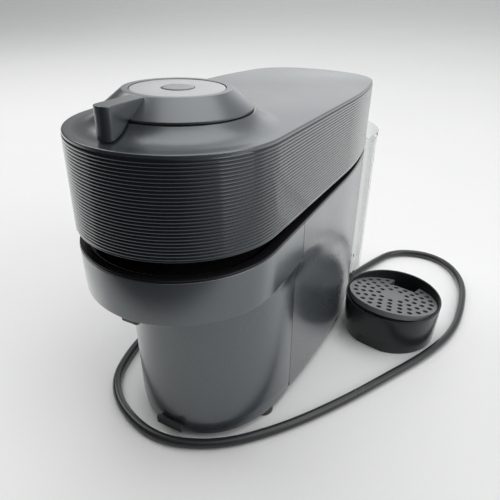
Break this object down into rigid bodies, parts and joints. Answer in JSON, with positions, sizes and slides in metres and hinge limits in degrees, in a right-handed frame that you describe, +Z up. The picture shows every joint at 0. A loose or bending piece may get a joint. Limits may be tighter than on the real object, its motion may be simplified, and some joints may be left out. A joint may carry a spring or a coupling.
{
  "type": "pod coffee machine",
  "caption": "Countertop pod coffee machine: hinged ribbed head with a lever knob, spinning capsule drum, clear rear water tank, capsule bin column, loose drip tray and mains cord.",
  "frame": {"origin": "on the standing plane, straight under the capsule drum's axis", "axes": "+Z up, the spout and lever face -Y, the water tank is towards +Y"},
  "size_m": [0.2857, 0.4034, 0.2581],
  "materials": {
    "charcoal_satin": "satin moulded",
    "top_satin": "satin moulded",
    "gloss_band": "gloss ribbed",
    "gloss_black": "gloss",
    "knob_satin": "satin moulded",
    "dial_grey": "satin",
    "button_black": "gloss",
    "clear_tank": "clear polished",
    "valve_white": "moulded",
    "tray_black": "satin moulded",
    "grid_grey": "satin moulded",
    "foot_rubber": "matte",
    "base_black": "moulded",
    "steel": "brushed",
    "aluminium": "cast",
    "brass": "turned",
    "pulley_black": "moulded",
    "circuit_green": "solder mask",
    "reader_black": "gloss",
    "hose_silicone": "silicone",
    "cord_black": "satin vinyl"
  },
  "bodies": {
    "root": {"base_plate": "base_black", "rubber_feet": "foot_rubber", "base_screws": "steel", "rear_shell": "charcoal_satin", "front_collar": "charcoal_satin", "brew_deck": "gloss_black", "drum_cradle": "valve_white", "drum_bearing": "brass", "drive_motor": "steel", "motor_bracket": "base_black", "drive_belt": "foot_rubber", "coffee_collector": "gloss_black", "coffee_outlet": "gloss_black", "chassis_frame": "base_black", "boiler": "aluminium", "water_pump": "base_black", "pump_mounts": "foot_rubber", "flow_meter": "valve_white", "control_board": "circuit_green", "tank_spigot": "valve_white", "suction_hose": "hose_silicone", "pressure_hose": "hose_silicone", "boiler_hose": "hose_silicone", "hinge_block": "base_black", "hinge_pin": "steel", "cord_grommet": "cord_black", "mains_cord": "cord_black", "mains_plug": "cord_black"},
    "head": {"head_cover": "gloss_band", "head_underside": "gloss_black", "head_bridge": "base_black", "head_posts": "base_black", "hinge_arms": "base_black", "top_plate": "top_satin", "dial_post": "valve_white", "button_board": "circuit_green", "dial_disc": "dial_grey", "injector_bearing": "brass", "code_reader": "reader_black", "head_hose": "hose_silicone"},
    "lever": {"lever_ring": "knob_satin", "lever_handle": "knob_satin", "lock_sleeve": "valve_white", "lock_ring": "valve_white"},
    "button": {"brew_button": "button_black"},
    "injector": {"injector_plate": "steel", "injector_seal": "foot_rubber"},
    "drum": {"capsule_holder": "aluminium", "drum_pulley": "pulley_black"},
    "motor_rotor": {"motor_shaft": "steel", "motor_pulley": "aluminium"},
    "tank": {"water_tank": "clear_tank", "tank_valve": "valve_white"},
    "bin": {"capsule_bin": "charcoal_satin", "tray_hook": "gloss_black"},
    "tray": {"drip_tray": "tray_black"},
    "grid": {"drip_grid": "grid_grey"}
  },
  "joints": [
    {"name": "head_hinge", "type": "hinge", "parent": "root", "child": "head", "pos_m": [0, 0.239, 0.185], "axis": [-1, 0, 0], "range_deg": [-2.1, 46]},
    {"name": "lever_turn", "type": "hinge", "parent": "head", "child": "lever", "pos_m": [0, 0.00071, 0.20875], "axis": [0, 0.0366, 0.9993], "range_deg": [-50, 0]},
    {"name": "button_press", "type": "slide", "parent": "head", "child": "button", "axis": [0, -0.0366, -0.9993], "range_m": [0, 0.0012], "stiffness_N_per_m": 1500, "springref_m": -0.0005},
    {"name": "injector_spin", "type": "hinge", "parent": "head", "child": "injector", "pos_m": [0, 0.00071, 0.20875], "axis": [0, 0.0366, 0.9993], "continuous": true},
    {"name": "drum_spin", "type": "hinge", "parent": "root", "child": "drum", "pos_m": [0, 0, 0.147], "axis": [0, 0, 1], "continuous": true},
    {"name": "motor_spin", "type": "hinge", "parent": "root", "child": "motor_rotor", "pos_m": [0, 0.095, 0.147], "axis": [0, 0, 1], "continuous": true},
    {"name": "tank_slide", "type": "slide", "parent": "root", "child": "tank", "axis": [0, 1, 0], "range_m": [0, 0.15]},
    {"name": "bin_slide", "type": "slide", "parent": "root", "child": "bin", "axis": [0, -1, 0], "range_m": [0, 0.13]},
    {"name": "tray_lift", "type": "slide", "parent": "root", "child": "tray", "axis": [0, 0, 1], "range_m": [0, 0.1]},
    {"name": "grid_lift", "type": "slide", "parent": "tray", "child": "grid", "axis": [0, 0, 1], "range_m": [0, 0.06]}
  ],
  "couplings": [
    {"joint": "motor_spin", "follows": "drum_spin", "ratio": 3.35}
  ]
}
